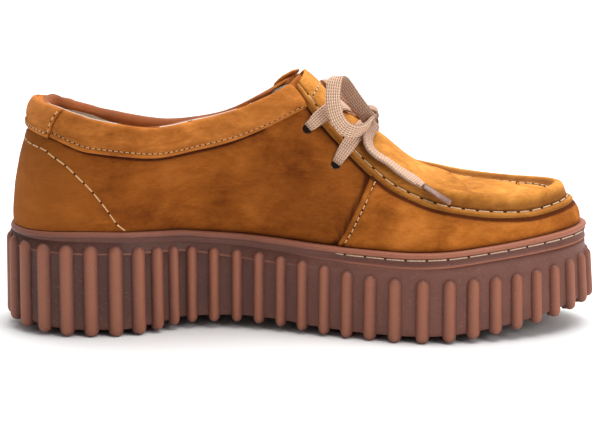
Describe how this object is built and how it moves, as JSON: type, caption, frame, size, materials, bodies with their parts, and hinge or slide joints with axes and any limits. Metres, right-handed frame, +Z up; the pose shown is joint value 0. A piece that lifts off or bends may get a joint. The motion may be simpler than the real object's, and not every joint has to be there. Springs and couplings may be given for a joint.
{
  "type": "lace-up shoe",
  "caption": "Low lace-up shoe for the left foot with a stitched moc toe, padded collar and a thick ribbed rubber platform sole.",
  "frame": {"origin": "on the floor, at the middle of the sole's footprint", "axes": "+X to the toe, +Y to the outer side of the foot, +Z up"},
  "size_m": [0.2793, 0.1041, 0.1221],
  "materials": {
    "nubuck": "matte napped nubuck, tan",
    "collar_leather": "smooth lining leather, brown",
    "rubber": "satin moulded rubber, brown",
    "footbed": "matte, light",
    "lace": "woven flat cord",
    "lace_tip": "film over the cord's end"
  },
  "bodies": {
    "root": {"outsole": "rubber", "welt": "rubber", "insole": "footbed", "upper": "nubuck", "apron": "nubuck", "collar_band": "nubuck", "heel_tab": "nubuck", "collar_roll": "collar_leather", "lace_bar_upper": "lace", "lace_bar_lower": "lace", "lace_knot": "lace", "lace_loop_near": "lace", "lace_loop_far": "lace", "lace_end_near": "lace", "lace_end_far": "lace", "lace_tip_near": "lace_tip", "lace_tip_far": "lace_tip"}
  },
  "joints": []
}
